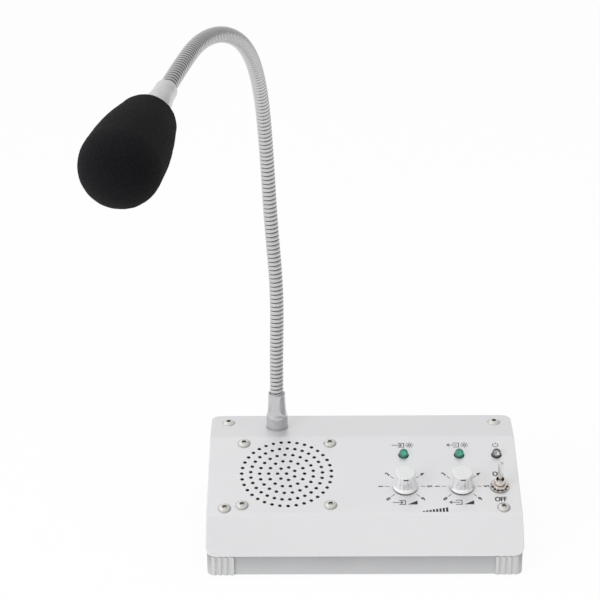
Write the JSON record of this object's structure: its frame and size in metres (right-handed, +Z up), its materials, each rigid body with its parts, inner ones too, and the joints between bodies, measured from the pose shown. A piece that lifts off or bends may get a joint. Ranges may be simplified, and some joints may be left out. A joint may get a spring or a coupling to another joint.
{
  "type": "teller window intercom",
  "caption": "Sloping desk console with a loudspeaker, two volume knobs, signal lamps and a power toggle, and a chromed gooseneck carrying a microphone with a foam windscreen.",
  "frame": {"origin": "on the counter, at the centre of the underside of the console's base pad", "axes": "+X to the user's right, -Y towards the user, +Z up"},
  "size_m": [0.2122, 0.2899, 0.3203],
  "materials": {
    "panel": "satin",
    "casing": "satin",
    "base_plate": "satin",
    "base_pad": "matte",
    "base_screws": "satin",
    "panel_screws": "satin",
    "speaker_screws": "satin",
    "speaker_nuts": "satin",
    "grille_cloth": "matte",
    "speaker_basket": "satin",
    "speaker_surround": "matte",
    "speaker_cone": "matte",
    "speaker_dust_cap": "matte",
    "speaker_magnet": "matte",
    "circuit_board": "satin",
    "board_standoffs": "satin",
    "board_screws": "satin",
    "capacitors": "gloss",
    "heat_sink": "satin",
    "amplifier_chip": "satin",
    "wire_headers": "satin",
    "internal_pot": "satin",
    "internal_pot_nut": "satin",
    "internal_pot_shaft": "satin",
    "internal_knob": "polished",
    "external_pot": "satin",
    "external_pot_nut": "satin",
    "external_pot_shaft": "satin",
    "external_knob": "polished",
    "internal_lamp": "gloss",
    "external_lamp": "gloss",
    "power_lamp": "gloss",
    "lamp_board": "satin",
    "lamp_spacers": "satin",
    "switch_case": "satin",
    "switch_lock_washer": "satin",
    "switch_nut": "polished",
    "switch_lever": "polished",
    "power_socket": "satin",
    "power_socket_nut": "satin",
    "line_socket": "satin",
    "line_socket_nut": "polished",
    "neck_collar": "polished",
    "neck_washer": "polished",
    "neck_nut": "satin",
    "neck_section_1": "polished",
    "neck_section_2": "polished",
    "neck_section_3": "polished",
    "neck_section_4": "polished",
    "neck_section_5": "polished",
    "neck_section_6": "polished",
    "neck_section_7": "polished",
    "neck_section_8": "polished",
    "neck_section_9": "polished",
    "mic_ferrule": "satin",
    "mic_set_screw": "satin",
    "mic_housing": "satin",
    "mic_capsule": "satin",
    "windscreen": "matte"
  },
  "bodies": {
    "console": {"panel": "panel", "casing": "casing", "base_plate": "base_plate", "base_pad": "base_pad", "base_screws": "base_screws", "panel_screws": "panel_screws", "speaker_screws": "speaker_screws", "speaker_nuts": "speaker_nuts", "grille_cloth": "grille_cloth", "speaker_basket": "speaker_basket", "speaker_surround": "speaker_surround", "speaker_cone": "speaker_cone", "speaker_dust_cap": "speaker_dust_cap", "speaker_magnet": "speaker_magnet", "circuit_board": "circuit_board", "board_standoffs": "board_standoffs", "board_screws": "board_screws", "capacitors": "capacitors", "heat_sink": "heat_sink", "amplifier_chip": "amplifier_chip", "wire_headers": "wire_headers", "internal_pot": "internal_pot", "internal_pot_nut": "internal_pot_nut", "external_pot": "external_pot", "external_pot_nut": "external_pot_nut", "internal_lamp": "internal_lamp", "external_lamp": "external_lamp", "power_lamp": "power_lamp", "lamp_board": "lamp_board", "lamp_spacers": "lamp_spacers", "switch_case": "switch_case", "switch_lock_washer": "switch_lock_washer", "switch_nut": "switch_nut", "power_socket": "power_socket", "power_socket_nut": "power_socket_nut", "line_socket": "line_socket", "line_socket_nut": "line_socket_nut", "neck_collar": "neck_collar", "neck_washer": "neck_washer", "neck_nut": "neck_nut", "neck_section_1": "neck_section_1"},
    "neck_2": {"neck_section_2": "neck_section_2"},
    "neck_3": {"neck_section_3": "neck_section_3"},
    "neck_4": {"neck_section_4": "neck_section_4"},
    "neck_5": {"neck_section_5": "neck_section_5"},
    "neck_6": {"neck_section_6": "neck_section_6"},
    "neck_7": {"neck_section_7": "neck_section_7"},
    "neck_8": {"neck_section_8": "neck_section_8"},
    "microphone": {"neck_section_9": "neck_section_9", "mic_ferrule": "mic_ferrule", "mic_set_screw": "mic_set_screw", "mic_housing": "mic_housing", "mic_capsule": "mic_capsule"},
    "windscreen": {"windscreen": "windscreen"},
    "internal_volume_knob": {"internal_pot_shaft": "internal_pot_shaft", "internal_knob": "internal_knob"},
    "external_volume_knob": {"external_pot_shaft": "external_pot_shaft", "external_knob": "external_knob"},
    "power_lever": {"switch_lever": "switch_lever"}
  },
  "joints": [
    {"name": "neck_1_forward", "type": "hinge", "parent": "console", "child": "neck_2", "pos_m": [-0.04859, 0.03773, 0.11084], "axis": [0.9829, -0.1821, -0.0262], "range_deg": [-20, 10]},
    {"name": "neck_2_sideways", "type": "hinge", "parent": "neck_2", "child": "neck_3", "pos_m": [-0.04968, 0.03794, 0.15331], "axis": [0.1828, 0.9831, -0.0087], "range_deg": [-15, 15]},
    {"name": "neck_3_forward", "type": "hinge", "parent": "neck_3", "child": "neck_4", "pos_m": [-0.05214, 0.03688, 0.19571], "axis": [0.9833, -0.1803, 0.0262], "range_deg": [-20, 10]},
    {"name": "neck_4_sideways", "type": "hinge", "parent": "neck_4", "child": "neck_5", "pos_m": [-0.05407, 0.02829, 0.23716], "axis": [0.1658, 0.928, 0.3337], "range_deg": [-15, 15]},
    {"name": "neck_5_forward", "type": "hinge", "parent": "neck_5", "child": "neck_6", "pos_m": [-0.05763, 0.00638, 0.27303], "axis": [0.9849, -0.1732, -0.0078], "range_deg": [-20, 10]},
    {"name": "neck_6_sideways", "type": "hinge", "parent": "neck_6", "child": "neck_7", "pos_m": [-0.06495, -0.02683, 0.29818], "axis": [0.0729, 0.4485, 0.8908], "range_deg": [-15, 15]},
    {"name": "neck_7_forward", "type": "hinge", "parent": "neck_7", "child": "neck_8", "pos_m": [-0.07523, -0.06556, 0.31191], "axis": [0.9671, -0.2505, 0.0443], "range_deg": [-20, 10]},
    {"name": "neck_8_sideways", "type": "hinge", "parent": "neck_8", "child": "microphone", "pos_m": [-0.08453, -0.10681, 0.31503], "axis": [-0.0462, -0.0346, 0.9983], "range_deg": [-15, 15]},
    {"name": "windscreen_pull_off", "type": "slide", "parent": "microphone", "child": "windscreen", "axis": [-0.1934, -0.9725, -0.13], "range_m": [0, 0.06]},
    {"name": "internal_volume_turn", "type": "hinge", "parent": "console", "child": "internal_volume_knob", "pos_m": [0.0234, -0.01331, 0.03496], "axis": [0, 0.2756, -0.9613], "range_deg": [-135, 135]},
    {"name": "external_volume_turn", "type": "hinge", "parent": "console", "child": "external_volume_knob", "pos_m": [0.05515, -0.01331, 0.03496], "axis": [0, 0.2756, -0.9613], "range_deg": [-135, 135]},
    {"name": "power_toggle", "type": "hinge", "parent": "console", "child": "power_lever", "pos_m": [0.0764, -0.01419, 0.03803], "axis": [1, 0, 0], "range_deg": [0, 22]}
  ]
}
